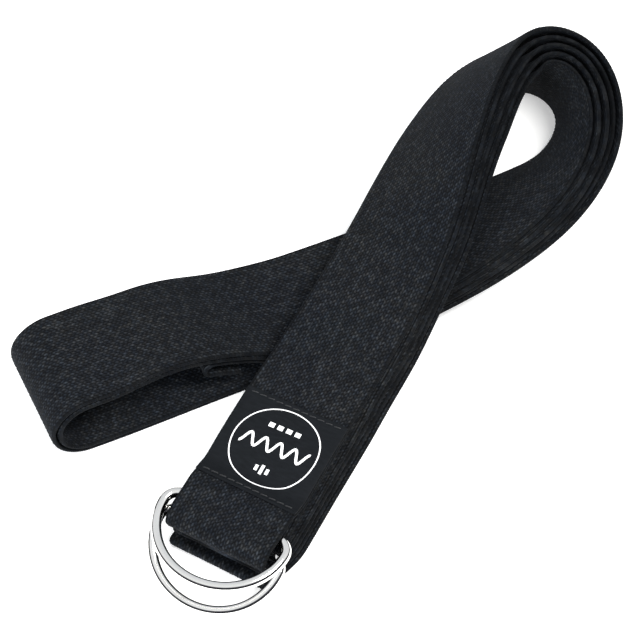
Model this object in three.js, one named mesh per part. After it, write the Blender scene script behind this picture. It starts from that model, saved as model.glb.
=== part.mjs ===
// Stretching strap: one long cotton webbing with two D-rings sewn into one end, folded back and
// forth into a flat bundle of five layers, and the bundle laid in a loop that crosses itself.
// Millimetres and degrees, +Z up, origin on the table under the middle of the bundle's box.
import * as THREE from "three";

// ---- Driving dimensions ----
const WEB_WIDTH = 38;
const WEB_THICKNESS = 1.9;
const CLEARANCE = 0.3;
const TIGHT_SPACING = WEB_THICKNESS + CLEARANCE;

// The route of the bundle's middle, from the ring end round the loop to the folded end.
// Each guide is [x, y, z, roll, spacing of the layers]; a smooth cubic passes near the guides.
// Roll 0 lays the bundle flat with the ring layer up, 90 stands it on edge, 180 turns it over.
const GUIDES = [
  [-34, -99, 6.5, 0, 2.2],
  [-24.5, -82.3, 7.6, 0, 2.2],
  [-15.2, -65.5, 11.6, 1, 2.2],
  [-8, -50.5, 11.8, 1, 2.2],
  [1, -34.6, 15.9, 3, 2.2],
  [18.6, -6.4, 23.1, 9, 2.2],
  [35, 29.2, 26.2, 26, 2.4],
  [48.9, 67.6, 25.5, 45, 2.9],
  [69, 98, 23.5, 59, 3.4],
  [92.8, 88, 20.9, 88, 3.0],
  [92.8, 56.6, 19.8, 121, 2.8],
  [73, 32.4, 17.7, 152, 2.5],
  [41, 18, 10.4, 173, 2.2],
  [7, 3.6, 6.4, 183, 2.2],
  [-28, -10, 5.5, 181, 2.2],
  [-62, -26, 5.4, 180, 2.2],
  [-96, -41, 5.4, 180, 2.2],
];
const ORIGIN_SHIFT = new THREE.Vector3(-0.348, 6.03, 0.15);

// How far each layer lies to the side, from the ring layer inwards: by the rings, half way
// along the first arm, round the loop, and at the folded end.
const SIDE_SHIFTS = [
  { at: 0, shifts: [0, 0.9, 1.2, 0.8, 1.4] },
  { at: 20, shifts: [0, 2.1, 2.6, 3.2, 4.6] },
  { at: 85, shifts: [0.5, 2.3, 3.3, 4.2, 5.4] },
  { at: 125, shifts: [0.4, 1.6, 2.5, 3.2, 4.0] },
  { at: 175, shifts: [0, 0.5, 1.5, 1.7, 1.4] },
  { at: 215, shifts: [0, -0.5, 0.4, -0.3, -1.6] },
  { at: 340, shifts: [0, -0.4, 0.5, -0.4, -1.6] },
  { at: 400, shifts: [0, 0.2, -1.6, -1.4, -1.8] },
  { at: 470, shifts: [0, 0.6, -0.6, -0.3, -0.5] },
];

// The folded end: the upper layers spring up into a teardrop.
const LIFT = 17.7;
const LIFT_FULL_AT = 34;
const LIFT_NONE_AT = 103.5;
const LIFT_TILT = 6;
const TILT_FROM_TO = [18, 45];
const TILT_BACK_FROM_TO = [65, 95];
const TAIL_END_AT = 58;
const TAIL_HEM_LENGTH = 12;

// The ring end: the webbing runs round both bars and is sewn back under itself.
const TAB_TURN_RADIUS = 4.52;
const TAB_OPEN_TO = 14.8;
const TAB_SEWN_FROM = 31;
const TAB_BACK_TO = 58;
const TAB_RISE = 2.2;
const TAB_RISE_FROM = 14;
const TAB_RISE_AT = 30;
const TAB_DOWN_AT = 80;
const UPPER_FOLD_AT = 2.2;
const LOWER_FOLD_AT = -0.6;

// The D-rings, of round wire.
const RING_WIRE = 3.6;
const RING_INNER_WIDTH = 41.8;
const RING_BAR_HALF = 18;
const RING_DEPTH = 26;
const UPPER_RING = { at: 12, height: 1.5, side: -0.2, droop: 0 };
const LOWER_RING = { at: 7, height: -1.5, side: 0, droop: 22.3 };

// The label patch and the seams.
const LABEL_FROM = 21.3;
const LABEL_LENGTH = 37.5;
const LABEL_THICKNESS = 0.5;
const SEAM_WIDTH = 1;
const SEAM_HEIGHT = 0.4;
const SEAM_INSET = 1.6;

// ---- Small helpers ----
const radians = THREE.MathUtils.degToRad;
const smooth = (x, from, to) => THREE.MathUtils.smootherstep(x, from, to);
const mix = THREE.MathUtils.lerp;

// Both ends, and every whole multiple of `step` between them that isn't right beside an end.
function stations(from, to, step) {
  const inside = [];
  for (let at = Math.ceil(from / step) * step; at < to; at += step) {
    if (at - from > step / 4 && to - at > step / 4) inside.push(at);
  }
  return [from, ...inside, to];
}

// ---- The route ----
const STEPS_PER_GUIDE = 24;

function cubicBlend(a, b, c, d, t) {
  const weights = [(1 - t) ** 3, 3 * t ** 3 - 6 * t ** 2 + 4, -3 * t ** 3 + 3 * t ** 2 + 3 * t + 1, t ** 3];
  return a.map((_, k) => (weights[0] * a[k] + weights[1] * b[k] + weights[2] * c[k] + weights[3] * d[k]) / 6);
}

function routeSamples() {
  const before = GUIDES[0].map((v, k) => 2 * v - GUIDES[1][k]);
  const last = GUIDES.length - 1;
  const after = GUIDES[last].map((v, k) => 2 * v - GUIDES[last - 1][k]);
  const all = [before, ...GUIDES, after];
  const samples = [];
  for (let i = 0; i + 3 < all.length; i += 1) {
    const steps = i + 4 === all.length ? STEPS_PER_GUIDE + 1 : STEPS_PER_GUIDE;
    for (let j = 0; j < steps; j += 1) {
      samples.push(cubicBlend(all[i], all[i + 1], all[i + 2], all[i + 3], j / STEPS_PER_GUIDE));
    }
  }
  let along = 0;
  return samples.map(([x, y, z, roll, spacing], i) => {
    const point = new THREE.Vector3(x, y, z).add(ORIGIN_SHIFT);
    if (i > 0) along += point.distanceTo(new THREE.Vector3(...samples[i - 1]).add(ORIGIN_SHIFT));
    return { along, point, roll, spacing };
  });
}

const ROUTE = routeSamples();
const ROUTE_LENGTH = ROUTE[ROUTE.length - 1].along;

// The place, travel, outward and edge directions of the bundle's middle at a length along it.
function routeAt(along) {
  const inside = THREE.MathUtils.clamp(along, 0, ROUTE_LENGTH);
  let i = ROUTE.findIndex((sample) => sample.along > inside);
  if (i < 1) i = i === 0 ? 1 : ROUTE.length - 1;
  const a = ROUTE[i - 1];
  const b = ROUTE[i];
  const share = (inside - a.along) / (b.along - a.along);
  const earlier = ROUTE[Math.max(i - 2, 0)];
  const later = ROUTE[Math.min(i + 1, ROUTE.length - 1)];
  const travelA = b.point.clone().sub(earlier.point).normalize();
  const travelB = later.point.clone().sub(a.point).normalize();
  const travel = travelA.lerp(travelB, share).normalize();
  const point = a.point.clone().lerp(b.point, share).addScaledVector(travel, along - inside);
  const left = new THREE.Vector3(-travel.y, travel.x, 0).normalize();
  const up = travel.clone().cross(left);
  const roll = radians(mix(a.roll, b.roll, share));
  const outward = up.clone().multiplyScalar(Math.cos(roll)).addScaledVector(left, Math.sin(roll));
  const edge = travel.clone().cross(outward);
  return { point, outward, edge, spacing: mix(a.spacing, b.spacing, share) };
}

// A point of the folded webbing: [length along the bundle, height in it, shift to the side, and
// a tilt of its width in radians, 0 if left out].
function placed([along, height, side]) {
  const { point, outward, edge } = routeAt(along);
  return point.clone().addScaledVector(outward, height).addScaledVector(edge, side);
}

// ---- The folded webbing, as lines in the bundle ----
function sideShift(layer, along) {
  const i = SIDE_SHIFTS.findIndex((station) => station.at > along);
  if (i === 0) return SIDE_SHIFTS[0].shifts[layer];
  if (i < 0) return SIDE_SHIFTS[SIDE_SHIFTS.length - 1].shifts[layer];
  const [a, b] = [SIDE_SHIFTS[i - 1], SIDE_SHIFTS[i]];
  return mix(a.shifts[layer], b.shifts[layer], smooth(along, a.at, b.at));
}

const fromFoldedEnd = (along) => ROUTE_LENGTH - along;
const liftAt = (along) => LIFT * (1 - smooth(fromFoldedEnd(along), LIFT_FULL_AT, LIFT_NONE_AT));

// By the rings the layers under the sewn end stay packed, and the ring layer rises over the bars.
const underTab = (along) => 1 - smooth(along, TAB_BACK_TO, TAB_DOWN_AT);
const tabLift = (along) =>
  TAB_RISE * smooth(along, TAB_RISE_FROM, TAB_RISE_AT) * (1 - smooth(along, TAB_RISE_AT, TAB_DOWN_AT));
const tabGap = (along) =>
  mix(2 * TAB_TURN_RADIUS, TIGHT_SPACING, smooth(along, TAB_OPEN_TO, TAB_SEWN_FROM));
const tabBackHeight = (along) => 1.5 * routeAt(along).spacing + tabLift(along);

function layerHeight(layer, along) {
  const packed = (2 - layer) * routeAt(along).spacing;
  const lowered = packed - 0.5 * routeAt(along).spacing * underTab(along);
  if (layer > 0) return lowered - (layer >= 2 ? liftAt(along) : 0);
  const overTab = tabBackHeight(along) + tabGap(along);
  const free = packed + tabLift(along);
  return mix(free, overTab, underTab(along));
}

function tilt(layer, along) {
  if (layer < 2) return 0;
  const rising = smooth(fromFoldedEnd(along), ...TILT_FROM_TO);
  const falling = smooth(fromFoldedEnd(along), ...TILT_BACK_FROM_TO);
  return radians(LIFT_TILT) * rising * (1 - falling);
}

// The place on a layer at a length, or `above` it by that much.
const onLayer = (layer, along, above = 0) => [
  along,
  layerHeight(layer, along) + above,
  sideShift(layer, along),
  tilt(layer, along),
];

function layerLine(layer, from, to, step, above = 0) {
  return stations(from, to, step).map((along) => onLayer(layer, along, above));
}

// Half a turn between two layers, bulging by `depth` past the place where it starts.
function turnLine(from, to, depth, steps) {
  const lines = [];
  for (let i = 0; i <= steps; i += 1) {
    const angle = (Math.PI * i) / steps;
    const share = (1 - Math.cos(angle)) / 2;
    lines.push([
      mix(from[0], to[0], i / steps) + depth * Math.sin(angle),
      mix(from[1], to[1], share),
      mix(from[2], to[2], share),
      mix(from[3] ?? 0, to[3] ?? 0, share),
    ]);
  }
  return lines;
}

// ---- Solids ----
// Bends a flat bar along a line of the bundle; `size` is [across, thick]. Its upper and lower faces
// are split the same way, so that twisted layers nest.
function barAlong(line, [across, thick], trim = CLEARANCE / 2) {
  const last = line.length - 1;
  const places = line.map(placed);
  const travels = places.map((_, i) => {
    const ahead = places[Math.min(i + 1, last)];
    return ahead.clone().sub(places[Math.max(i - 1, 0)]).normalize();
  });
  places[0].addScaledVector(travels[0], trim);
  places[last].addScaledVector(travels[last], -trim);
  const corners = [];
  places.forEach((place, i) => {
    const edge = routeAt(line[i][0]).edge.clone().applyAxisAngle(travels[i], line[i][3] ?? 0);
    const outward = edge.clone().cross(travels[i]).normalize();
    for (const [side, face] of [[-1, 1], [1, 1], [1, -1], [-1, -1]]) {
      const corner = place.clone().addScaledVector(edge, (side * across) / 2);
      corners.push(...corner.addScaledVector(outward, (face * thick) / 2).toArray());
    }
  });
  const faces = [0, 2, 1, 0, 3, 2];
  for (let i = 0; i < last; i += 1) {
    const [a, b, c, d] = [0, 1, 2, 3].map((corner) => 4 * i + corner);
    faces.push(a, b, b + 4, a, b + 4, a + 4);
    faces.push(d, c + 4, c, d, d + 4, c + 4);
    faces.push(b, c, c + 4, b, c + 4, b + 4);
    faces.push(d, a, a + 4, d, a + 4, d + 4);
  }
  faces.push(...[0, 1, 2, 0, 2, 3].map((corner) => 4 * last + corner));
  const geometry = new THREE.BufferGeometry();
  geometry.setAttribute("position", new THREE.Float32BufferAttribute(corners, 3));
  geometry.setIndex(faces);
  geometry.computeVertexNormals();
  return geometry;
}

function named(name, geometry, material) {
  const mesh = new THREE.Mesh(geometry, material);
  mesh.name = name;
  return mesh;
}

// ---- Materials ----
const webbingMaterial = new THREE.MeshStandardMaterial({ color: 0x17181b, roughness: 0.95, metalness: 0 });
const labelMaterial = new THREE.MeshStandardMaterial({ color: 0x101114, roughness: 0.55, metalness: 0 });
const threadMaterial = new THREE.MeshStandardMaterial({ color: 0x1c1d20, roughness: 0.8, metalness: 0 });
const nickelMaterial = new THREE.MeshStandardMaterial({ color: 0xd9d6cf, roughness: 0.12, metalness: 1 });

// ---- The webbing ----
const SHORT_STEP = 4;
const LONG_STEP = 8;
const LOOP_FROM = 196;
const LOOP_TO = 344;
const TURN_STEPS = 10;
const webbing = (name, line) => named(name, barAlong(line, [WEB_WIDTH, WEB_THICKNESS]), webbingMaterial);

const OUTER_FOLD = { tip: ROUTE_LENGTH - WEB_THICKNESS / 2, layers: [4, 0] };
const INNER_FOLD = { tip: OUTER_FOLD.tip - TIGHT_SPACING, layers: [3, 1] };

// Where a fold of the folded end starts: its depth is half the height between its layers.
function foldStart({ tip, layers: [upper, lower] }) {
  const height = Math.abs(layerHeight(lower, tip) - layerHeight(upper, tip));
  return tip - height / 2;
}

const LAYER_ENDS = [
  { from: TAB_TURN_RADIUS + WEB_THICKNESS / 2, to: foldStart(OUTER_FOLD) },
  { from: UPPER_FOLD_AT + 2, to: foldStart(INNER_FOLD) },
  { from: UPPER_FOLD_AT + 2, to: fromFoldedEnd(TAIL_END_AT) },
  { from: LOWER_FOLD_AT + 2, to: foldStart(INNER_FOLD) },
  { from: LOWER_FOLD_AT + 2, to: foldStart(OUTER_FOLD) },
];

function layerRuns() {
  return LAYER_ENDS.flatMap(({ from, to }, layer) => [
    webbing(`webbing_layer_${layer + 1}_ring_arm`, layerLine(layer, from, LOOP_FROM, SHORT_STEP)),
    webbing(`webbing_layer_${layer + 1}_loop`, layerLine(layer, LOOP_FROM, LOOP_TO, SHORT_STEP)),
    webbing(`webbing_layer_${layer + 1}_fold_arm`, layerLine(layer, LOOP_TO, to, LONG_STEP)),
  ]);
}

function foldedEndTurn(name, { layers: [upper, lower] }) {
  const start = onLayer(upper, LAYER_ENDS[upper].to);
  const end = onLayer(lower, LAYER_ENDS[lower].to);
  return webbing(name, turnLine(start, end, Math.abs(start[1] - end[1]) / 2, TURN_STEPS));
}

function ringEndTurn(name, upper, lower) {
  const start = onLayer(upper, LAYER_ENDS[upper].from);
  const end = onLayer(lower, LAYER_ENDS[lower].from);
  return webbing(name, turnLine(start, end, -Math.abs(start[1] - end[1]) / 2, TURN_STEPS / 2));
}

const tabBackPoint = (along) => [along, tabBackHeight(along), 0];
const tabBackLine = (from, to) => stations(from, to, SHORT_STEP).map(tabBackPoint);

function ringTab() {
  const turnFrom = LAYER_ENDS[0].from;
  const turn = turnLine(onLayer(0, turnFrom), tabBackPoint(turnFrom), -TAB_TURN_RADIUS, TURN_STEPS);
  return [
    webbing("webbing_ring_turn", turn),
    webbing("webbing_sewn_back_end", tabBackLine(turnFrom, TAB_BACK_TO)),
  ];
}

function tailHem() {
  const tailEnd = LAYER_ENDS[2].to;
  const line = layerLine(2, tailEnd - TAIL_HEM_LENGTH, tailEnd, LONG_STEP, TIGHT_SPACING);
  return webbing("webbing_tail_hem", line);
}

// ---- Label and seams ----
const LABEL_HEIGHT = (WEB_THICKNESS + LABEL_THICKNESS) / 2 + CLEARANCE;

function label() {
  const line = layerLine(0, LABEL_FROM, LABEL_FROM + LABEL_LENGTH, SHORT_STEP, LABEL_HEIGHT);
  return named("label_patch", barAlong(line, [WEB_WIDTH - 0.4, LABEL_THICKNESS], 0), labelMaterial);
}

function seam(name, layer, at, above) {
  const line = [at - SEAM_WIDTH / 2, at + SEAM_WIDTH / 2].map((along) => onLayer(layer, along, above));
  return named(name, barAlong(line, [WEB_WIDTH - 2, SEAM_HEIGHT], 0), threadMaterial);
}

function seams() {
  const onLabel = LABEL_HEIGHT + (LABEL_THICKNESS + SEAM_HEIGHT) / 2 + CLEARANCE;
  const underHem = TIGHT_SPACING + (WEB_THICKNESS + SEAM_HEIGHT) / 2 + CLEARANCE;
  return [
    seam("label_seam_ring_side", 0, LABEL_FROM + SEAM_INSET, onLabel),
    seam("label_seam_far_side", 0, LABEL_FROM + LABEL_LENGTH - SEAM_INSET, onLabel),
    seam("tail_hem_seam", 2, LAYER_ENDS[2].to - TAIL_HEM_LENGTH + SEAM_INSET, underHem),
  ];
}

// ---- D-rings ----
// The closed middle line of the wire, with its bar along X through the origin and its bow along +Y.
class RingLine extends THREE.Curve {
  constructor() {
    super();
    const halfWidth = (RING_INNER_WIDTH + RING_WIRE) / 2;
    const corner = halfWidth - RING_BAR_HALF;
    const outline = new THREE.Path();
    outline.moveTo(0, 0);
    outline.lineTo(RING_BAR_HALF, 0);
    outline.absarc(RING_BAR_HALF, corner, corner, -Math.PI / 2, 0);
    outline.absellipse(0, corner, halfWidth, RING_DEPTH - corner, 0, Math.PI);
    outline.absarc(-RING_BAR_HALF, corner, corner, Math.PI, 1.5 * Math.PI);
    outline.lineTo(0, 0);
    this.outline = outline;
  }

  getPoint(share, target = new THREE.Vector3()) {
    const flat = this.outline.getPointAt(share);
    return target.set(flat.x, flat.y, 0);
  }
}

const RING_STEPS = 64;
const WIRE_SIDES = 10;

function ring(name, { at, height, side, droop }) {
  const { edge, outward } = routeAt(at);
  const middle = tabBackHeight(at) + tabGap(at) / 2 + height;
  const group = new THREE.Group();
  const inward = edge.clone().cross(outward);
  const towardBow = inward.clone().multiplyScalar(Math.cos(radians(droop)));
  towardBow.addScaledVector(outward, -Math.sin(radians(droop)));
  const normal = edge.clone().cross(towardBow);
  group.matrixAutoUpdate = false;
  group.matrix.makeBasis(edge, towardBow, normal).setPosition(placed([at, middle, side]));
  const geometry = new THREE.TubeGeometry(new RingLine(), RING_STEPS, RING_WIRE / 2, WIRE_SIDES, true);
  group.add(named(name, geometry, nickelMaterial));
  return group;
}

// ---- The strap ----
const strap = new THREE.Group();
strap.add(...layerRuns());
strap.add(foldedEndTurn("webbing_outer_fold", OUTER_FOLD));
strap.add(foldedEndTurn("webbing_inner_fold", INNER_FOLD));
strap.add(ringEndTurn("webbing_upper_ring_end_fold", 1, 2));
strap.add(ringEndTurn("webbing_lower_ring_end_fold", 3, 4));
strap.add(...ringTab(), tailHem());
strap.add(label(), ...seams());
strap.add(ring("d_ring_upper", UPPER_RING), ring("d_ring_lower", LOWER_RING));

export default strap;
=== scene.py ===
"""Stretching strap: the looks of the folded webbing, its sewn label and its two D-rings.

Metres and degrees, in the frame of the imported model. The route of the folded bundle and the
places of its five layers are the same as in the CAD part, repeated here in metres.
"""
import math

import bpy
import numpy as np
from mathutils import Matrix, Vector


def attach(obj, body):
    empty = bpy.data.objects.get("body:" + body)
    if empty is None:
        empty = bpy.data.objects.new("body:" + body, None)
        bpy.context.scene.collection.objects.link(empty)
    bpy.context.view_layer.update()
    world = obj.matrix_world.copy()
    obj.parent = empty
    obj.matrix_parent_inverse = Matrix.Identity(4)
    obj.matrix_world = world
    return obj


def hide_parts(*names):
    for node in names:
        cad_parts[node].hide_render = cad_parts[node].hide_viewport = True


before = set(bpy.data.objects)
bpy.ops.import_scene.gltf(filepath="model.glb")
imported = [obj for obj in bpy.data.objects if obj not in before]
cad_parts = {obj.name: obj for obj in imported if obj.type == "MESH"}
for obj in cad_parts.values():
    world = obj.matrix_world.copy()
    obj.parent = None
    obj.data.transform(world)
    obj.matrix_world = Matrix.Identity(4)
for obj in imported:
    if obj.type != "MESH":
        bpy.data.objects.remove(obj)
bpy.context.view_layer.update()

# ---- The webbing and its route, as in the CAD part ----
MM = 0.001
WEB_WIDTH = 0.038
WEB_THICKNESS = 0.0019
CLEARANCE = 0.0003
TIGHT_SPACING = WEB_THICKNESS + CLEARANCE

# Each guide is x, y, z, roll in degrees, and the spacing of the layers.
GUIDES = np.array([
    [-0.034, -0.099, 0.0065, 0, 0.0022],
    [-0.0245, -0.0823, 0.0076, 0, 0.0022],
    [-0.0152, -0.0655, 0.0116, 1, 0.0022],
    [-0.008, -0.0505, 0.0118, 1, 0.0022],
    [0.001, -0.0346, 0.0159, 3, 0.0022],
    [0.0186, -0.0064, 0.0231, 9, 0.0022],
    [0.035, 0.0292, 0.0262, 26, 0.0024],
    [0.0489, 0.0676, 0.0255, 45, 0.0029],
    [0.069, 0.098, 0.0235, 59, 0.0034],
    [0.0928, 0.088, 0.0209, 88, 0.003],
    [0.0928, 0.0566, 0.0198, 121, 0.0028],
    [0.073, 0.0324, 0.0177, 152, 0.0025],
    [0.041, 0.018, 0.0104, 173, 0.0022],
    [0.007, 0.0036, 0.0064, 183, 0.0022],
    [-0.028, -0.01, 0.0055, 181, 0.0022],
    [-0.062, -0.026, 0.0054, 180, 0.0022],
    [-0.096, -0.041, 0.0054, 180, 0.0022],
])
ORIGIN_SHIFT = np.array([-0.000348, 0.00603, 0.00015])
STEPS_PER_GUIDE = 24

# Where along the bundle each row of side shifts holds, one shift for each layer.
SHIFTS_AT = [0, 0.02, 0.085, 0.125, 0.175, 0.215, 0.34, 0.4, 0.47]
SIDE_SHIFTS = [
    [0, 0.0009, 0.0012, 0.0008, 0.0014],
    [0, 0.0021, 0.0026, 0.0032, 0.0046],
    [0.0005, 0.0023, 0.0033, 0.0042, 0.0054],
    [0.0004, 0.0016, 0.0025, 0.0032, 0.004],
    [0, 0.0005, 0.0015, 0.0017, 0.0014],
    [0, -0.0005, 0.0004, -0.0003, -0.0016],
    [0, -0.0004, 0.0005, -0.0004, -0.0016],
    [0, 0.0002, -0.0016, -0.0014, -0.0018],
    [0, 0.0006, -0.0006, -0.0003, -0.0005],
]

LIFT = 0.0177
LIFT_FULL_AT = 0.034
LIFT_NONE_AT = 0.1035
LIFT_TILT = 6
TILT_FROM_TO = (0.018, 0.045)
TILT_BACK_FROM_TO = (0.065, 0.095)
TAIL_END_AT = 0.058
TAIL_HEM_LENGTH = 0.012

TAB_TURN_RADIUS = 0.00452
TAB_OPEN_TO = 0.0148
TAB_SEWN_FROM = 0.031
TAB_BACK_TO = 0.058
TAB_RISE = 0.0022
TAB_RISE_FROM = 0.014
TAB_RISE_AT = 0.03
TAB_DOWN_AT = 0.08
UPPER_FOLD_AT = 0.0022
LOWER_FOLD_AT = -0.0006
RING_END_FOLD_ROOM = 0.002

RING_WIRE = 0.0036
RING_INNER_WIDTH = 0.0418
RING_BAR_HALF = 0.018
RING_DEPTH = 0.026
UPPER_RING = {"at": 0.012, "height": 0.0015, "side": -0.0002, "droop": 0}
LOWER_RING = {"at": 0.007, "height": -0.0015, "side": 0, "droop": 22.3}

LABEL_FROM = 0.0213
LABEL_LENGTH = 0.0375
LABEL_WIDTH = WEB_WIDTH - 0.0004
SEAM_INSET = 0.0016

# ---- Driving values of the looks ----
COARSE = 1
ROW_STEP = 0.00042 * COARSE
HIDDEN_ROW_STEP = 0.0008 * COARSE
YARN_PITCH = 0.00096
GRAIN_LENGTH = 0.0017
YARN_COLUMNS = 37
STEPS_PER_YARN = 3
WEAVE_DEPTH = 0.00033
SLANT = 0.46
SELVAGE_RADIUS = 0.00085
SELVAGE_STEPS = 6
CREST = 0.00096

# Colours over the weave's height: the crests hold the cloth's own dark colour, and the darker grooves are
# painted shade.
YARN_COLOUR_AND_GROOVE_SHADE = [
    (0.10, (0.0015, 0.0017, 0.0019)),
    (0.50, (0.0100, 0.0112, 0.0126)),
    (0.90, (0.0230, 0.0255, 0.0285)),
]

CAMERA_ELEVATION = 56.36
CAMERA_DISTANCE = 1.785
CAMERA_LENS = 296.5
SENSOR_WIDTH = 36
FLOOR_HALF = 4.0
FLOOR_GAP = 0.0003


# ---- Small helpers ----
def smooth(x, start, end):
    """An eased step from 0 at start to 1 at end."""
    t = np.clip((np.asarray(x, float) - start) / (end - start), 0, 1)
    return t * t * t * (t * (t * 6 - 15) + 10)


def mix(a, b, share):
    return a + (b - a) * share


def unit(vectors):
    return vectors / np.linalg.norm(vectors, axis=-1, keepdims=True)


def turned(vectors, axes, angles):
    """The vectors turned about unit axes that are square to them."""
    angles = np.asarray(angles)[:, None]
    return vectors * np.cos(angles) + np.cross(axes, vectors) * np.sin(angles)


# ---- The route ----
def route_samples():
    """Close samples of a smooth curve led by the guides, with its roll and spacing."""
    before = 2 * GUIDES[0] - GUIDES[1]
    after = 2 * GUIDES[-1] - GUIDES[-2]
    guides = np.vstack([before, GUIDES, after])
    t = np.arange(STEPS_PER_GUIDE)[:, None] / STEPS_PER_GUIDE
    rows = []
    for i in range(len(guides) - 3):
        share = np.vstack([t, [[1.0]]]) if i == len(guides) - 4 else t
        weights = [
            (1 - share) ** 3,
            3 * share ** 3 - 6 * share ** 2 + 4,
            -3 * share ** 3 + 3 * share ** 2 + 3 * share + 1,
            share ** 3,
        ]
        rows.append(sum(weight * guides[i + k] for k, weight in enumerate(weights)) / 6)
    samples = np.vstack(rows)
    samples[:, :3] += ORIGIN_SHIFT
    return samples


ROUTE = route_samples()
ROUTE_STEPS = np.linalg.norm(np.diff(ROUTE[:, :3], axis=0), axis=1)
ROUTE_ALONG = np.concatenate([[0], np.cumsum(ROUTE_STEPS)])
ROUTE_LENGTH = ROUTE_ALONG[-1]
ROUTE_TRAVEL = unit(np.vstack([
    ROUTE[1, :3] - ROUTE[0, :3],
    ROUTE[2:, :3] - ROUTE[:-2, :3],
    ROUTE[-1, :3] - ROUTE[-2, :3],
]))


def spacing_at(along):
    return np.interp(along, ROUTE_ALONG, ROUTE[:, 4])


def route_at(along):
    """Points, travel, outward and edge directions of the bundle's middle at lengths along it."""
    inside = np.clip(along, 0, ROUTE_LENGTH)
    point = np.stack([np.interp(inside, ROUTE_ALONG, ROUTE[:, k]) for k in range(3)], axis=1)
    travel = unit(np.stack([np.interp(inside, ROUTE_ALONG, ROUTE_TRAVEL[:, k]) for k in range(3)], axis=1))
    roll = np.radians(np.interp(inside, ROUTE_ALONG, ROUTE[:, 3]))[:, None]
    point = point + travel * (along - inside)[:, None]
    left = unit(np.stack([-travel[:, 1], travel[:, 0], np.zeros(len(travel))], axis=1))
    up = np.cross(travel, left)
    outward = up * np.cos(roll) + left * np.sin(roll)
    return point, travel, outward, np.cross(travel, outward)


# ---- The layers of the bundle ----
def side_shift(layer, along):
    shift = np.full(len(along), SIDE_SHIFTS[-1][layer], float)
    for i in range(len(SHIFTS_AT) - 2, -1, -1):
        eased = mix(
            SIDE_SHIFTS[i][layer],
            SIDE_SHIFTS[i + 1][layer],
            smooth(along, SHIFTS_AT[i], SHIFTS_AT[i + 1]),
        )
        shift = np.where(along < SHIFTS_AT[i + 1], eased, shift)
    return shift


def lift_at(along):
    return LIFT * (1 - smooth(ROUTE_LENGTH - along, LIFT_FULL_AT, LIFT_NONE_AT))


def under_tab(along):
    return 1 - smooth(along, TAB_BACK_TO, TAB_DOWN_AT)


def tab_lift(along):
    rising = smooth(along, TAB_RISE_FROM, TAB_RISE_AT)
    return TAB_RISE * rising * (1 - smooth(along, TAB_RISE_AT, TAB_DOWN_AT))


def tab_gap(along):
    return mix(2 * TAB_TURN_RADIUS, TIGHT_SPACING, smooth(along, TAB_OPEN_TO, TAB_SEWN_FROM))


def tab_back_height(along):
    return 1.5 * spacing_at(along) + tab_lift(along)


def layer_height(layer, along):
    packed = (2 - layer) * spacing_at(along)
    if layer == 0:
        over_tab = tab_back_height(along) + tab_gap(along)
        return mix(packed + tab_lift(along), over_tab, under_tab(along))
    lowered = packed - 0.5 * spacing_at(along) * under_tab(along)
    return lowered - (lift_at(along) if layer >= 2 else 0)


def layer_tilt(layer, along):
    if layer < 2:
        return np.zeros(len(along))
    from_end = ROUTE_LENGTH - along
    share = smooth(from_end, *TILT_FROM_TO) * (1 - smooth(from_end, *TILT_BACK_FROM_TO))
    return math.radians(LIFT_TILT) * share


def on_layer(layer, along, above=0.0):
    """Rows of length along the bundle, height in it, shift to the side and tilt."""
    along = np.atleast_1d(np.asarray(along, float))
    height = layer_height(layer, along) + above
    return np.stack([along, height, side_shift(layer, along), layer_tilt(layer, along)], axis=1)


def tab_back(along):
    along = np.atleast_1d(np.asarray(along, float))
    zero = np.zeros(len(along))
    return np.stack([along, tab_back_height(along), zero, zero], axis=1)


def turn(start, end, depth, step):
    """Half a turn between two rows, bulging by depth past the place where it starts."""
    steps = max(6, round(math.pi * abs(start[1] - end[1]) / 2 / step))
    angle = np.linspace(0, math.pi, steps + 1)[:, None]
    share = (1 - np.cos(angle)) / 2
    rows = mix(start, end, share)
    rows[:, 0] = (mix(start[0], end[0], angle / math.pi) + depth * np.sin(angle))[:, 0]
    return rows


def runs(start, end, step):
    """Even lengths from start to end, about a step apart."""
    return np.linspace(start, end, max(2, round(abs(end - start) / step) + 1))


OUTER_TIP = ROUTE_LENGTH - WEB_THICKNESS / 2
INNER_TIP = OUTER_TIP - TIGHT_SPACING


def fold_start(tip, upper, lower):
    tip = np.array([tip])
    return float((tip - np.abs(layer_height(lower, tip) - layer_height(upper, tip)) / 2)[0])


RING_TURN_AT = TAB_TURN_RADIUS + WEB_THICKNESS / 2
OUTER_FOLD_AT = fold_start(OUTER_TIP, 4, 0)
INNER_FOLD_AT = fold_start(INNER_TIP, 3, 1)
TAIL_AT = ROUTE_LENGTH - TAIL_END_AT
HEM_TURN = TIGHT_SPACING / 2
UPPER_FOLD_FROM = UPPER_FOLD_AT + RING_END_FOLD_ROOM
LOWER_FOLD_FROM = LOWER_FOLD_AT + RING_END_FOLD_ROOM
LAYER_ENDS = [
    (RING_TURN_AT, OUTER_FOLD_AT),
    (UPPER_FOLD_FROM, INNER_FOLD_AT),
    (UPPER_FOLD_FROM, TAIL_AT - HEM_TURN),
    (LOWER_FOLD_FROM, INNER_FOLD_AT),
    (LOWER_FOLD_FROM, OUTER_FOLD_AT),
]
RING_END_UP_TO = 0.014
LOOP_FROM = 0.196
LOOP_TO = 0.344


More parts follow.
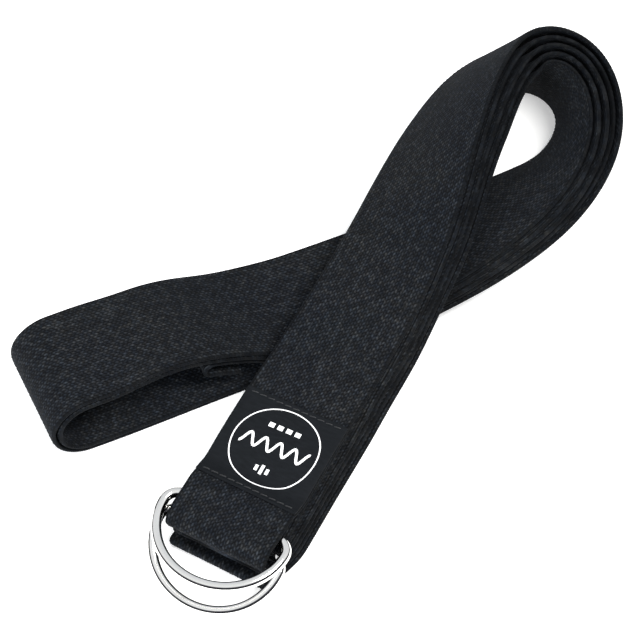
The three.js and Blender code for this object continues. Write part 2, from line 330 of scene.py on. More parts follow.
# ---- The webbing, as one strip cut where the CAD nodes meet ----
def layer_sections(layer, forward, seen):
    """The three stretches of a layer, in the order in which the strip runs."""
    start, end = LAYER_ENDS[layer]
    start = max(start, RING_END_UP_TO) if layer else start
    parts = [("ring_arm", start, LOOP_FROM), ("loop", LOOP_FROM, LOOP_TO), ("fold_arm", LOOP_TO, end)]
    sections = []
    for name, low, high in parts if forward else reversed(parts):
        a, b = (low, high) if forward else (high, low)
        fine = name in seen
        rows = on_layer(layer, runs(a, b, ROW_STEP if fine else HIDDEN_ROW_STEP))
        sections.append({"name": f"webbing_layer_{layer + 1}_{name}", "rows": rows,
                         "forward": forward, "fine": fine})
    return sections


def turn_section(name, start, end, depth):
    rows = turn(start[0], end[0], depth, ROW_STEP)
    return {"name": name, "rows": rows, "forward": True, "fine": True}


def far_fold(name, from_layer, to_layer):
    """A fold from one layer to another at the folded end."""
    start = on_layer(from_layer, LAYER_ENDS[from_layer][1])
    end = on_layer(to_layer, LAYER_ENDS[to_layer][1])
    return turn_section(name, start, end, abs(start[0][1] - end[0][1]) / 2)


def ring_end_fold(name, from_layer, to_layer):
    """A fold from one layer to another at the ring end, with a short stretch of both layers."""
    fold_at = LAYER_ENDS[from_layer][0]
    start = on_layer(from_layer, fold_at)
    end = on_layer(to_layer, fold_at)
    section = turn_section(name, start, end, -abs(start[0][1] - end[0][1]) / 2)
    before = on_layer(from_layer, runs(RING_END_UP_TO, fold_at, ROW_STEP))
    after = on_layer(to_layer, runs(fold_at, RING_END_UP_TO, ROW_STEP))
    section["rows"] = np.vstack([before[:-1], section["rows"], after[1:]])
    return section


def strip_sections():
    """Every stretch of the one webbing, from its sewn-back end to its hem."""
    everywhere = ("ring_arm", "loop", "fold_arm")
    back = {"name": "webbing_sewn_back_end", "forward": False, "fine": True,
            "rows": tab_back(runs(TAB_BACK_TO, RING_TURN_AT, ROW_STEP))}
    ring_turn = turn_section(
        "webbing_ring_turn", tab_back(RING_TURN_AT), on_layer(0, RING_TURN_AT), -TAB_TURN_RADIUS)
    hem_turn = turn(on_layer(2, TAIL_AT - HEM_TURN)[0],
                    on_layer(2, TAIL_AT - HEM_TURN, TIGHT_SPACING)[0], HEM_TURN, ROW_STEP)
    hem_back = on_layer(2, runs(TAIL_AT - HEM_TURN, TAIL_AT - TAIL_HEM_LENGTH, ROW_STEP), TIGHT_SPACING)
    hem = {"name": "webbing_tail_hem", "forward": True, "fine": True,
           "rows": np.vstack([hem_turn, hem_back[1:]])}
    return [
        back,
        ring_turn,
        *layer_sections(0, True, everywhere),
        far_fold("webbing_outer_fold", 0, 4),
        *layer_sections(4, False, everywhere),
        ring_end_fold("webbing_lower_ring_end_fold", 4, 3),
        *layer_sections(3, True, ("fold_arm",)),
        far_fold("webbing_inner_fold", 3, 1),
        *layer_sections(1, False, ("fold_arm",)),
        ring_end_fold("webbing_upper_ring_end_fold", 1, 2),
        *layer_sections(2, True, ("fold_arm",)),
        hem,
    ]


def framed(rows, forward):
    """Centres, width, travel and facing directions of rows of the bundle, as a ribbon's frame."""
    point, _, outward, edge = route_at(rows[:, 0])
    centre = point + outward * rows[:, 1:2] + edge * rows[:, 2:3]
    travel = unit(np.gradient(centre, axis=0))
    tilt = rows[:, 3] if forward else -rows[:, 3]
    width = turned(edge, travel, tilt)
    return centre, width, travel, unit(np.cross(width, travel))


# ---- Weave ----
def hashed(a, b):
    """A fixed scatter from 0 to 1 over pairs of whole numbers."""
    return np.mod(np.abs(np.sin(a * 12.9898 + b * 78.233 + 3.7) * 43758.5453), 1)


def weave(across, along):
    """The weave's height, 0 in a groove to 1 on a grain, and the lightness of each grain."""
    wander = 0.10 * np.sin(along * 210 + across * 40) + 0.07 * np.sin(along * 517 + 1.7)
    column = np.floor(across / YARN_PITCH)
    x = across / YARN_PITCH - column - 0.5
    odd = np.mod(column, 2)
    lean = np.where(odd > 0, 1.0, -1.0) * SLANT
    y = along / GRAIN_LENGTH + 0.5 * odd + lean * x + wander + 0.22 * hashed(column, 5)
    number = np.floor(y)
    y = y - number - 0.5
    ridge = np.cos(math.pi * np.clip(x, -0.5, 0.5)) ** 0.9
    grain = 0.10 + 0.90 * np.abs(np.cos(math.pi * y)) ** 0.9
    lightness = hashed(column, number)
    return ridge * grain * (0.72 + 0.28 * lightness), lightness


def unevenness(across, along):
    """A slow wave of the cloth's surface, at most about a tenth of a millimetre."""
    return 0.00004 * (
        np.sin(along * 95 + 1.3 * np.sin(across * 160))
        + np.sin(along * 41 + across * 90 + 0.7)
        + 0.6 * np.sin(along * 233 - across * 55 + 2.1)
    )


def section_columns(fine):
    """Places across the webbing on one face, closer together at the edges where only they show."""
    flat_half = WEB_WIDTH / 2 - SELVAGE_RADIUS
    grid_half = YARN_COLUMNS * YARN_PITCH / 2
    if fine:
        columns = np.linspace(-grid_half, grid_half, YARN_COLUMNS * STEPS_PER_YARN // COARSE + 1)
    else:
        outer = np.linspace(grid_half - 0.0036, grid_half, 9 // COARSE + 1)
        middle = np.linspace(-outer[0], outer[0], 8)
        columns = np.concatenate([-outer[::-1], middle[1:-1], outer])
    return np.concatenate([[-flat_half], columns, [flat_half]])


def section_profile(fine, both):
    """The section's outline: across, height and face (1 the outer, -1 the inner, 0 the selvage)."""
    outer = section_columns(fine)
    inner = section_columns(both) if both else section_columns(False)
    flat_half = WEB_WIDTH / 2 - SELVAGE_RADIUS
    bend = np.linspace(math.pi / 2, -math.pi / 2, SELVAGE_STEPS + 1)[1:-1]
    bend_across = flat_half + SELVAGE_RADIUS * np.cos(bend)
    across = np.concatenate([outer, bend_across, inner[::-1], -bend_across[::-1]])
    up = np.ones(len(outer))
    down = -np.ones(len(inner))
    edge = np.zeros(len(bend))
    tall = np.concatenate([up, np.sin(bend), down, np.sin(bend[::-1])])
    face = np.concatenate([up, edge, down, edge])
    return across, tall, face


def strip_mesh(section, start_length, lead, trail):
    """The solid of a stretch of webbing, with one row of each neighbour to shade it evenly."""
    rows = np.vstack([lead, section["rows"], trail])
    centre, width, travel, facing = framed(rows, section["forward"])
    steps = np.linalg.norm(np.diff(centre, axis=0), axis=1)
    length = np.concatenate([[0], np.cumsum(steps)])
    length = length - length[len(lead)] + start_length
    across, tall, face = section_profile(section["fine"], section["name"].endswith("hem"))
    u = across[None, :]
    s = length[:, None]
    relief, lightness = weave(u + np.where(face < 0, YARN_PITCH / 2, 0)[None, :], s)
    selvage = 0.5 + 0.5 * np.sin(2 * math.pi * s / GRAIN_LENGTH * 2 + np.sign(u) * 1.1)
    # The selvage's low relief sinks it a little and, through the colour ramp, paints the webbing's edges dark
    # as shade.
    relief = np.where(face[None, :] == 0, 0.17 + 0.18 * selvage, relief)
    near_edge = smooth(np.abs(u), WEB_WIDTH / 2 - 0.0019, WEB_WIDTH / 2 - SELVAGE_RADIUS)
    height = CREST - WEAVE_DEPTH * (1 - relief) - near_edge * 0.00005
    height = height * tall[None, :] + unevenness(u, s)
    out = 0.00008 * (selvage - 0.5) * (face[None, :] == 0) * np.sign(u)
    out = out + 0.00012 * np.sin(s * 71 + np.sign(u)) * np.sign(u) * near_edge
    points = (centre[:, None, :] + width[:, None, :] * (u + out)[..., None]
              + facing[:, None, :] * height[..., None])
    along_step = np.gradient(points, axis=0)
    around_step = np.roll(points, -1, axis=1) - np.roll(points, 1, axis=1)
    normals = unit(np.cross(around_step, along_step))
    keep = slice(len(lead), len(rows) - len(trail))
    uv = np.stack(np.broadcast_arrays(u / MM, s / MM), axis=-1)
    return points[keep], normals[keep], (relief[keep], lightness[keep]), uv[keep], length[keep][-1]


def grid_object(name, points, normals, relief, lightness, uv):
    """A closed tube from a grid of rows, with its ends capped and its shading normals kept."""
    rows, columns = points.shape[:2]
    index = np.arange(rows * columns).reshape(rows, columns)
    following = np.roll(index, -1, axis=1)
    quads = np.stack([index[:-1], following[:-1], following[1:], index[1:]], axis=-1).reshape(-1, 4)
    loops = np.concatenate([quads.ravel(), index[0][::-1], index[-1]])
    starts = np.concatenate([np.arange(len(quads)) * 4, [quads.size, quads.size + columns]])
    mesh = bpy.data.meshes.new(name)
    mesh.vertices.add(rows * columns)
    mesh.vertices.foreach_set("co", points.astype(np.float32).ravel())
    mesh.loops.add(len(loops))
    mesh.loops.foreach_set("vertex_index", loops.astype(np.int32))
    mesh.polygons.add(len(starts))
    mesh.polygons.foreach_set("loop_start", starts.astype(np.int32))
    mesh.update(calc_edges=True)
    layer = mesh.uv_layers.new(name="weave")
    layer.data.foreach_set("uv", uv.reshape(-1, 2)[loops].astype(np.float32).ravel())
    # The relief attribute is the weave's height; the webbing's material also paints groove shade from it.
    for kind, values in (("relief", relief), ("lightness", lightness)):
        attribute = mesh.attributes.new(kind, "FLOAT", "POINT")
        attribute.data.foreach_set("value", values.astype(np.float32).ravel())
    mesh.polygons.foreach_set("use_smooth", np.ones(len(starts), bool))
    mesh.normals_split_custom_set_from_vertices(normals.reshape(-1, 3))
    mesh.validate()
    piece = bpy.data.objects.new(name, mesh)
    bpy.context.collection.objects.link(piece)
    return piece


# ---- Materials ----
def node(tree, kind, **values):
    made = tree.nodes.new(kind)
    for key, value in values.items():
        if hasattr(made, key):
            setattr(made, key, value)
        else:
            made.inputs[key.replace("_", " ")].default_value = value
    return made


def new_material(name):
    material = bpy.data.materials.new(name)
    material.use_nodes = True
    tree = material.node_tree
    return material, tree, tree.nodes["Principled BSDF"]


def scaled(tree, source, scale):
    mapping = node(tree, "ShaderNodeMapping")
    mapping.inputs["Scale"].default_value = scale
    tree.links.new(source, mapping.inputs["Vector"])
    return mapping.outputs["Vector"]


def ramp(tree, source, stops):
    """A colour ramp over a value, from (place, colour) stops."""
    made = tree.nodes.new("ShaderNodeValToRGB")
    band = made.color_ramp
    while len(band.elements) < len(stops):
        band.elements.new(0.5)
    for element, (place, colour) in zip(band.elements, stops):
        element.position = place
        element.color = (*colour, 1)
    tree.links.new(source, made.inputs["Fac"])
    return made.outputs["Color"]


def noise(tree, vector, scale, detail=3.0, roughness=0.6):
    made = node(tree, "ShaderNodeTexNoise")
    made.inputs["Scale"].default_value = scale
    made.inputs["Detail"].default_value = detail
    made.inputs["Roughness"].default_value = roughness
    tree.links.new(vector, made.inputs["Vector"])
    return made.outputs["Fac"]


def multiplied(tree, a, b, share=1.0, blend="MULTIPLY"):
    made = tree.nodes.new("ShaderNodeMix")
    made.data_type = "RGBA"
    made.blend_type = blend
    made.inputs["Factor"].default_value = share
    tree.links.new(a, made.inputs["A"])
    tree.links.new(b, made.inputs["B"])
    return made.outputs["Result"]


def bumped(tree, shader, height, strength, distance, after=None):
    made = tree.nodes.new("ShaderNodeBump")
    made.inputs["Strength"].default_value = strength
    made.inputs["Distance"].default_value = distance
    tree.links.new(height, made.inputs["Height"])
    if after is not None:
        tree.links.new(after, made.inputs["Normal"])
    tree.links.new(made.outputs["Normal"], shader.inputs["Normal"])
    return made.outputs["Normal"]


def webbing_material():
    """Black cotton webbing: fibres run along the yarns, the grooves are painted darker as shade, crests are
    greyer.
    """
    material, tree, shader = new_material("black_cotton_webbing")
    uv = node(tree, "ShaderNodeUVMap", uv_map="weave").outputs["UV"]
    place = node(tree, "ShaderNodeTexCoord").outputs["Object"]
    relief = node(tree, "ShaderNodeAttribute", attribute_name="relief").outputs["Fac"]
    lightness = node(tree, "ShaderNodeAttribute", attribute_name="lightness").outputs["Fac"]
    # The weave's height sets the colour: painted shade in the grooves, the cloth's own colour on the crests.
    yarn_and_groove_shade = ramp(tree, relief, YARN_COLOUR_AND_GROOVE_SHADE)
    grain_shade = ramp(tree, lightness, [(0.0, (0.72, 0.74, 0.78)), (0.6, (1.00, 1.01, 1.03)),
                                         (1.0, (1.42, 1.41, 1.38))])
    fibre = noise(tree, scaled(tree, uv, (5.0, 1.3, 1.0)), 1.6, 4.0, 0.65)
    fibre_shade = ramp(tree, fibre, [(0.3, (0.48, 0.50, 0.53)), (0.7, (1.55, 1.55, 1.55))])
    faded = noise(tree, place, 28.0, 2.0, 0.5)
    faded_shade = ramp(tree, faded, [(0.35, (0.85, 0.88, 0.94)), (0.65, (1.13, 1.10, 1.05))])
    colour = multiplied(tree, multiplied(tree, yarn_and_groove_shade, grain_shade), fibre_shade)
    colour = multiplied(tree, colour, faded_shade)
    lint = noise(tree, uv, 1.30, 2.0, 0.7)
    lint_shade = ramp(tree, lint, [(0.32, (0.60, 0.61, 0.63)), (0.50, (1.00, 1.00, 1.00)),
                                   (0.68, (1.42, 1.42, 1.40))])
    tint = noise(tree, scaled(tree, uv, (0.8, 0.8, 1.0)), 0.75, 1.0, 0.5)
    tint_shade = ramp(tree, tint, [(0.35, (0.90, 0.98, 1.10)), (0.65, (1.10, 1.02, 0.94))])
    colour = multiplied(tree, multiplied(tree, colour, lint_shade), tint_shade)
    tree.links.new(colour, shader.inputs["Base Color"])
    rough = ramp(tree, fibre, [(0.3, (0.95, 0.95, 0.95)), (0.7, (0.82, 0.82, 0.82))])
    tree.links.new(rough, shader.inputs["Roughness"])
    shader.inputs["Specular IOR Level"].default_value = 0.10
    shader.inputs["Sheen Weight"].default_value = 0.010
    shader.inputs["Sheen Roughness"].default_value = 0.45
    shader.inputs["Sheen Tint"].default_value = (0.72, 0.82, 1.0, 1)
    bumped(tree, shader, fibre, 0.6, 0.00012)
    return material


def label_material():
    """Satin ribbon: fine ribs across the strap and a soft gloss."""
    material, tree, shader = new_material("black_satin_label")
    uv = node(tree, "ShaderNodeUVMap", uv_map="weave").outputs["UV"]
    rib = node(tree, "ShaderNodeTexWave", wave_type="BANDS", bands_direction="Y")
    rib.inputs["Scale"].default_value = 1.6
    rib.inputs["Distortion"].default_value = 0.6
    tree.links.new(uv, rib.inputs["Vector"])
    mottle = noise(tree, scaled(tree, uv, (0.5, 1.6, 1.0)), 0.6, 4.0, 0.6)
    shade = ramp(tree, mottle, [(0.3, (0.0040, 0.0049, 0.0062)), (0.7, (0.0068, 0.0082, 0.0102))])
    tree.links.new(shade, shader.inputs["Base Color"])
    shader.inputs["Roughness"].default_value = 0.62
    shader.inputs["Specular IOR Level"].default_value = 0.10
    shader.inputs["Sheen Weight"].default_value = 0.02
    shader.inputs["Sheen Roughness"].default_value = 0.4
    bumped(tree, shader, rib.outputs["Fac"], 0.25, 0.00005)
    return material


def ink_material():
    """White print on the label, a little broken up by the ribbon under it."""
    material, tree, shader = new_material("white_label_print")
    place = node(tree, "ShaderNodeTexCoord").outputs["Object"]
    grain = noise(tree, place, 2600.0, 2.0, 0.5)
    shade = ramp(tree, grain, [(0.3, (0.80, 0.81, 0.83)), (0.6, (0.93, 0.93, 0.93))])
    tree.links.new(shade, shader.inputs["Base Color"])
    shader.inputs["Roughness"].default_value = 0.6
    return material


def thread_material():
    """Black sewing thread with its twist."""
    material, tree, shader = new_material("black_sewing_thread")
    place = node(tree, "ShaderNodeTexCoord").outputs["Object"]
    twist = noise(tree, place, 3200.0, 2.0, 0.5)
    shade = ramp(tree, twist, [(0.3, (0.006, 0.007, 0.008)), (0.7, (0.019, 0.021, 0.023))])
    tree.links.new(shade, shader.inputs["Base Color"])
    shader.inputs["Roughness"].default_value = 0.5
    shader.inputs["Sheen Weight"].default_value = 0.1
    bumped(tree, shader, twist, 0.4, 0.00008)
    return material


def nickel_material():
    """Bright nickel plating with faint handling marks."""
    material, tree, shader = new_material("polished_nickel")
    place = node(tree, "ShaderNodeTexCoord").outputs["Object"]
    marks = noise(tree, scaled(tree, place, (1.0, 1.0, 2.5)), 420.0, 5.0, 0.65)
    cloud = noise(tree, place, 60.0, 2.0, 0.5)
    shade = ramp(tree, cloud, [(0.3, (0.88, 0.87, 0.84)), (0.7, (0.95, 0.94, 0.92))])
    tree.links.new(shade, shader.inputs["Base Color"])
    rough = ramp(tree, marks, [(0.35, (0.05, 0.05, 0.05)), (0.75, (0.13, 0.13, 0.13))])
    tree.links.new(rough, shader.inputs["Roughness"])
    shader.inputs["Metallic"].default_value = 1.0
    bumped(tree, shader, marks, 0.05, 0.00005)
    return material


def floor_material():
    """A pale floor that glows a little, as a light table does."""
    material, tree, shader = new_material("pale_floor")
    place = node(tree, "ShaderNodeTexCoord").outputs["Object"]
    cloud = noise(tree, place, 1.2, 2.0, 0.5)
    shade = ramp(tree, cloud, [(0.3, (0.90, 0.90, 0.90)), (0.7, (0.92, 0.92, 0.92))])
    tree.links.new(shade, shader.inputs["Base Color"])
    shader.inputs["Roughness"].default_value = 0.9
    shader.inputs["Specular IOR Level"].default_value = 0.1
    shader.inputs["Emission Color"].default_value = (1.0, 1.0, 1.0, 1)
    shader.inputs["Emission Strength"].default_value = 0.42
    return material


# ---- Pieces ----
def finish_piece(piece, body, slot, material, *replaced):
    piece.data.materials.append(material)
    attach(piece, body)
    if replaced:
        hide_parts(*replaced)
    return piece


def build_webbing(material):
    sections = strip_sections()
    length = 0.0
    pieces = []
    for i, section in enumerate(sections):
        lead = sections[i - 1]["rows"][-2:-1] if i else np.zeros((0, 4))
        trail = sections[i + 1]["rows"][1:2] if i + 1 < len(sections) else np.zeros((0, 4))
        start = length
        points, normals, (relief, lightness), uv, length = strip_mesh(section, start, lead, trail)
        piece = grid_object(section["name"] + "_woven", points, normals, relief, lightness, uv)
        finish_piece(piece, "strap", "webbing", material, section["name"])
        pieces.append(piece)
    print(f"webbing {length:.4f} m, {sum(len(p.data.polygons) for p in pieces)} faces")
    return pieces


def label_frame(along):
    rows = on_layer(0, along)
    return framed(rows, True)


LABEL_MIDDLE = 0.0013
LABEL_HALF = 0.0002
LABEL_STEP = 0.0004 * COARSE
STITCH_LENGTH = 0.0025
STITCH_PITCH = 0.0031
THREAD_RADIUS = 0.00021
THREAD_SIDES = 8


def label_height(across, along):
    """How far the label's middle lies from the webbing's, with a dip along each row of stitches."""
    rows = [LABEL_FROM + SEAM_INSET, LABEL_FROM + LABEL_LENGTH - SEAM_INSET]
    dip = sum(np.exp(-((along - row) / 0.0005) ** 2) for row in rows)
    pucker = np.sin(across * 2 * math.pi / STITCH_PITCH)
    near_row = sum(np.exp(-((along - row) / 0.0016) ** 2) for row in rows)
    ends = np.minimum(along - LABEL_FROM, LABEL_FROM + LABEL_LENGTH - along)
    sides = LABEL_WIDTH / 2 - np.abs(across)
    edge = np.exp(-ends / 0.0004) + np.exp(-sides / 0.0005)
    slow = 0.00003 * np.sin(along * 300 + across * 210)
    return LABEL_MIDDLE - 0.00012 * dip + 0.00003 * pucker * near_row - 0.00008 * edge + slow


def build_label(material):
    along = runs(LABEL_FROM, LABEL_FROM + LABEL_LENGTH, LABEL_STEP)
    centre, width, travel, facing = label_frame(along)
    half = LABEL_WIDTH / 2 - LABEL_HALF
    flat = np.linspace(-half, half, round(2 * half / LABEL_STEP) + 1)
    bend = np.linspace(math.pi / 2, -math.pi / 2, 7)[1:-1]
    across = np.concatenate([flat, half + LABEL_HALF * np.cos(bend), flat[::-1],
                             -half - LABEL_HALF * np.cos(bend[::-1])])
    tall = np.concatenate([np.ones(len(flat)), np.sin(bend), -np.ones(len(flat)), np.sin(bend[::-1])])
    u = across[None, :]
    s = along[:, None]
    ends = np.minimum(s - along[0], along[-1] - s)
    thin = np.sqrt(np.clip(ends / 0.0003, 0.15, 1))
    height = label_height(u, s) + LABEL_HALF * tall[None, :] * thin
    points = (centre[:, None, :] + width[:, None, :] * u[..., None] + facing[:, None, :] * height[..., None])
    normals = unit(np.cross(np.roll(points, -1, axis=1) - np.roll(points, 1, axis=1),
                            np.gradient(points, axis=0)))
    uv = np.stack(np.broadcast_arrays(u / MM, s / MM), axis=-1)
    even = np.ones(height.shape)
    piece = grid_object("label_satin", points, normals, even, even, uv)
    finish_piece(piece, "strap", "label", material, "label_patch")
    return piece


PRINT_MIDDLE_AT = 0.0406
PRINT_MIDDLE_SIDE = 0.0004
PRINT_RADIUS = 0.0149
PRINT_LINE = 0.00045


def print_paths():
    """Lines of the plain print, as (points of side and along, width, closed)."""
    angle = np.linspace(0, 2 * math.pi, 121)[:-1]
    circle = np.stack([PRINT_RADIUS * np.sin(angle), PRINT_RADIUS * np.cos(angle)], axis=1)
    side = np.linspace(-0.0122, 0.0122, 161)
    wave = np.stack([side, 0.0021 * np.sin(side * 2 * math.pi / 0.0054)], axis=1)
    paths = [(circle, PRINT_LINE, True), (wave, 0.0009, False)]
    for middle in (-0.0048, -0.0016, 0.0016, 0.0048):
        bar = np.stack([np.linspace(middle - 0.0010, middle + 0.0010, 5), np.full(5, 0.0072)], axis=1)
        paths.append((bar, 0.0018, False))
    for middle, half in ((-0.0020, 0.0010), (0, 0.0017), (0.0020, 0.0010)):
        bar = np.stack([np.full(5, middle), np.linspace(-half, half, 5) - 0.0085], axis=1)
        paths.append((bar, 0.0011, False))
    return paths


def print_ribbon(path, width, closed):
    """Points and quads of a flat line of print laid on the label."""
    if closed:
        step = np.roll(path, -1, axis=0) - np.roll(path, 1, axis=0)
    else:
        step = np.gradient(path, axis=0)
    across = unit(np.stack([-step[:, 1], step[:, 0]], axis=1)) * width / 2
    both = np.stack([path - across, path + across], axis=1)
    side = both[..., 0].ravel() + PRINT_MIDDLE_SIDE
    along = both[..., 1].ravel() + PRINT_MIDDLE_AT
    centre, wide, _, facing = placed_frames(along)
    height = label_height(side, along) + LABEL_HALF + 0.00003
    points = centre + wide * side[:, None] + facing * height[:, None]
    count = len(path)
    index = np.arange(2 * count).reshape(count, 2)
    after = np.roll(index, -1, axis=0)
    quads = np.stack([index[:, 0], after[:, 0], after[:, 1], index[:, 1]], axis=1)
    return points, quads if closed else quads[:-1]


def placed_frames(along):
    """Frames of the ring layer at any lengths, read off a close row of them."""
    close = runs(LABEL_FROM, LABEL_FROM + LABEL_LENGTH, 0.0002)
    frames = label_frame(close)
    return [np.stack([np.interp(along, close, part[:, k]) for k in range(3)], axis=1) for part in frames]


def build_print(material):
    points, faces, count = [], [], 0
    for path, width, closed in print_paths():
        some, quads = print_ribbon(path, width, closed)
        points.append(some)
        faces.append(quads + count)
        count += len(some)
    mesh = bpy.data.meshes.new("label_print")
    mesh.from_pydata(np.vstack(points).tolist(), [], np.vstack(faces).tolist())
    mesh.update()
    piece = bpy.data.objects.new("label_print", mesh)
    bpy.context.collection.objects.link(piece)
    return finish_piece(piece, "strap", "label", material)


def stitch_tube(path):
    """Points and faces of one stitch: thread that rises from the cloth, runs along it and dives."""
    travel = unit(np.gradient(path, axis=0))
    guide = unit(np.cross(travel, np.array([0.3, 0.2, 0.93])))
    other = np.cross(travel, guide)
    angle = np.linspace(0, 2 * math.pi, THREAD_SIDES, endpoint=False)
    ring = guide[:, None, :] * np.cos(angle)[None, :, None] + other[:, None, :] * np.sin(angle)[None, :, None]
    points = (path[:, None, :] + THREAD_RADIUS * ring).reshape(-1, 3)
    index = np.arange(len(points)).reshape(len(path), THREAD_SIDES)
    after = np.roll(index, -1, axis=1)
    quads = np.stack([index[:-1], index[1:], after[1:], after[:-1]], axis=-1).reshape(-1, 4).tolist()
    return points, quads + [index[0].tolist(), index[-1][::-1].tolist()]


def build_stitches(name, material, replaced, centre, width, facing, surface):
    """A row of stitches across the webbing, on a surface this far from its middle."""
    points, faces, count = [], [], 0
    number = int((WEB_WIDTH - 0.002) / STITCH_PITCH)
    for k in range(number):
        middle = (k - (number - 1) / 2) * STITCH_PITCH
        t = np.linspace(-1, 1, 13)
        side = middle + t * STITCH_LENGTH / 2
        lean = 0.00018 * t
        height = surface + THREAD_RADIUS * 0.55 - 0.0005 * np.abs(t) ** 6
        path = centre + np.outer(side, width) + np.outer(height, facing)
        path = path + np.outer(lean, np.cross(facing, width))
        some, quads = stitch_tube(path)
        points.append(some)
        faces += [[v + count for v in face] for face in quads]
        count += len(some)
    mesh = bpy.data.meshes.new(name)
    mesh.from_pydata(np.vstack(points).tolist(), [], faces)
    mesh.polygons.foreach_set("use_smooth", np.ones(len(faces), bool))
    mesh.update()
    piece = bpy.data.objects.new(name, mesh)
    bpy.context.collection.objects.link(piece)
    return finish_piece(piece, "strap", "thread", material, replaced)


def build_all_stitches(material):
    for name, at in (("ring_side", LABEL_FROM + SEAM_INSET),
                     ("far_side", LABEL_FROM + LABEL_LENGTH - SEAM_INSET)):
        near = np.array([at - 0.0003, at, at + 0.0003])
        centre, width, _, facing = label_frame(near)
        surface = float(label_height(0.0, at)) + LABEL_HALF
        build_stitches(f"label_stitches_{name}", material, f"label_seam_{name}",
                       centre[1], width[1], facing[1], surface)
    at = TAIL_AT - TAIL_HEM_LENGTH + SEAM_INSET
    rows = on_layer(2, np.array([at - 0.0003, at, at + 0.0003]), TIGHT_SPACING)
    centre, width, _, facing = framed(rows, True)
    build_stitches("tail_hem_stitches", material, "tail_hem_seam", centre[1], width[1], facing[1], CREST)


# ---- D-rings ----
RING_SIDES = 28
RING_STEP = 0.0004


def ring_outline():
    """The closed middle line of the wire in its plane, bar on the x axis and bow towards +y."""
    half = (RING_INNER_WIDTH + RING_WIRE) / 2
    corner = half - RING_BAR_HALF
    turn_angle = np.linspace(-math.pi / 2, 0, 24)
    bow_angle = np.linspace(0, math.pi, 160)
    right = np.stack([RING_BAR_HALF + corner * np.cos(turn_angle),
                      corner + corner * np.sin(turn_angle)], axis=1)
    bow = np.stack([half * np.cos(bow_angle), corner + (RING_DEPTH - corner) * np.sin(bow_angle)], axis=1)
    left = np.stack([-right[::-1, 0], right[::-1, 1]], axis=1)
    line = np.vstack([[[0, 0]], right, bow[1:-1], left, [[0, 0]]])
    length = np.concatenate([[0], np.cumsum(np.linalg.norm(np.diff(line, axis=0), axis=1))])
    even = np.linspace(0, length[-1], round(length[-1] / RING_STEP) + 1)[:-1]
    return np.stack([np.interp(even, length, line[:, k]) for k in range(2)], axis=1), even, length[-1]


def build_ring(name, place, material):
    """Round wire swept along the D, a little narrower at the butt joint in its bar."""
    at = np.array([place["at"]])
    point, _, outward, edge = (part[0] for part in route_at(at))
    middle = float(tab_back_height(at)[0] + tab_gap(at)[0] / 2) + place["height"]
    origin = point + outward * middle + edge * place["side"]
    droop = math.radians(place["droop"])
    to_bow = np.cross(edge, outward) * math.cos(droop) - outward * math.sin(droop)
    normal = np.cross(edge, to_bow)
    line, length, total = ring_outline()
    step = unit(np.roll(line, -1, axis=0) - np.roll(line, 1, axis=0))
    inward = np.stack([-step[:, 1], step[:, 0]], axis=1)
    angle = np.linspace(0, 2 * math.pi, RING_SIDES, endpoint=False)
    from_joint = np.minimum(length, total - length)
    radius = RING_WIRE / 2 * (1 - 0.06 * np.exp(-(from_joint / 0.0004) ** 2))
    flat = line[:, None, :] + inward[:, None, :] * (radius[:, None] * np.cos(angle)[None, :])[..., None]
    high = radius[:, None] * np.sin(angle)[None, :]
    points = origin + flat[..., :1] * edge + flat[..., 1:] * to_bow + high[..., None] * normal
    rows, columns = points.shape[:2]
    index = np.arange(rows * columns).reshape(rows, columns)
    ahead = np.roll(index, -1, axis=0)
    quads = np.stack([index, np.roll(index, -1, axis=1), np.roll(ahead, -1, axis=1), ahead], axis=-1)
    mesh = bpy.data.meshes.new(name + "_polished")
    mesh.from_pydata(points.reshape(-1, 3).tolist(), [], quads.reshape(-1, 4).tolist())
    mesh.polygons.foreach_set("use_smooth", np.ones(rows * columns, bool))
    mesh.update()
    piece = bpy.data.objects.new(name + "_polished", mesh)
    bpy.context.collection.objects.link(piece)
    body = "upper_ring" if name.endswith("upper") else "lower_ring"
    return finish_piece(piece, body, "nickel", material, name)


# ---- Camera, floor and light ----
def add_camera():
    data = bpy.data.cameras.new("camera")
    data.sensor_width = SENSOR_WIDTH
    data.lens = CAMERA_LENS
    data.clip_end = 20
    camera = bpy.data.objects.new("camera", data)
    elevation = math.radians(CAMERA_ELEVATION)
    back = np.array([0, -math.cos(elevation), math.sin(elevation)])
    camera.location = ORIGIN_SHIFT + CAMERA_DISTANCE * back
    camera.rotation_euler = (math.pi / 2 - elevation, 0, 0)
    bpy.context.collection.objects.link(camera)
    bpy.context.scene.camera = camera


def add_area_light(name, place, size, watts, colour):
    data = bpy.data.lights.new(name, "AREA")
    data.shape = "DISK"
    data.size = size
    data.energy = watts
    data.color = colour
    light = bpy.data.objects.new(name, data)
    light.location = place
    light.rotation_mode = "QUATERNION"
    light.rotation_quaternion = (-Vector(place)).to_track_quat("-Z", "Y")
    bpy.context.collection.objects.link(light)
    return light


def add_floor():
    mesh = bpy.data.meshes.new("floor")
    corners = [(-1, -1), (1, -1), (1, 1), (-1, 1)]
    mesh.from_pydata([(x * FLOOR_HALF, y * FLOOR_HALF, 0) for x, y in corners], [], [(0, 1, 2, 3)])
    mesh.materials.append(floor_material())
    floor = bpy.data.objects.new("floor", mesh)
    floor.location.z = -FLOOR_GAP
    bpy.context.collection.objects.link(floor)


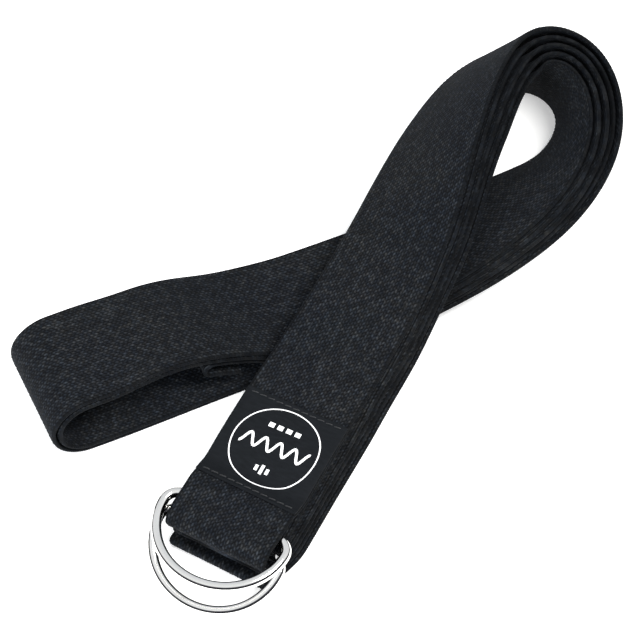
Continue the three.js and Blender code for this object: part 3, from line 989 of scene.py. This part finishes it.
def add_world():
    """Soft light from overhead and behind, with the darker room low down and in front.
    Straight views past the floor's edge show a plain pale backdrop."""
    world = bpy.data.worlds.new("studio")
    world.use_nodes = True
    tree = world.node_tree
    direction = node(tree, "ShaderNodeTexCoord").outputs["Generated"]
    parts = node(tree, "ShaderNodeSeparateXYZ")
    tree.links.new(direction, parts.inputs["Vector"])
    low = ramp(tree, parts.outputs["Z"], [(0.0, (0.04, 0.04, 0.045)), (0.18, (0.05, 0.05, 0.055)),
                                          (0.34, (0.96, 0.98, 1.0))])
    lean = node(tree, "ShaderNodeVectorMath", operation="DOT_PRODUCT")
    lean.inputs[1].default_value = (0.0, 0.35, 1.0)
    tree.links.new(direction, lean.inputs[0])
    front = ramp(tree, lean.outputs["Value"], [(0.44, (0.05, 0.05, 0.06)), (0.58, (1.0, 1.0, 1.0))])
    depth = ramp(tree, parts.outputs["Y"], [(0.0, (1.0, 1.0, 1.0)), (0.8, (0.80, 0.81, 0.83))])
    background = tree.nodes["Background"]
    sky = multiplied(tree, multiplied(tree, low, front), depth)
    tree.links.new(sky, background.inputs["Color"])
    background.inputs["Strength"].default_value = 0.88
    backdrop = tree.nodes.new("ShaderNodeBackground")
    backdrop.inputs["Color"].default_value = (0.93, 0.93, 0.94, 1)
    seen = node(tree, "ShaderNodeMixShader")
    tree.links.new(node(tree, "ShaderNodeLightPath").outputs["Is Camera Ray"], seen.inputs["Fac"])
    tree.links.new(background.outputs["Background"], seen.inputs[1])
    tree.links.new(backdrop.outputs["Background"], seen.inputs[2])
    tree.links.new(seen.outputs["Shader"], tree.nodes["World Output"].inputs["Surface"])
    bpy.context.scene.world = world


def main():
    view = bpy.context.scene.view_settings
    view.view_transform = "Standard"
    add_camera()
    add_world()
    add_floor()
    add_area_light("key_light", (0.80, -0.50, 1.95), 0.9, 52, (1.0, 0.99, 0.97))
    fill = add_area_light("fill_light", (-1.1, -1.5, 0.8), 1.2, 50, (0.96, 0.98, 1.0))
    fill.visible_glossy = False
    webbing = webbing_material()
    build_webbing(webbing)
    build_label(label_material())
    build_print(ink_material())
    build_all_stitches(thread_material())
    nickel = nickel_material()
    build_ring("d_ring_upper", UPPER_RING, nickel)
    build_ring("d_ring_lower", LOWER_RING, nickel)


main()
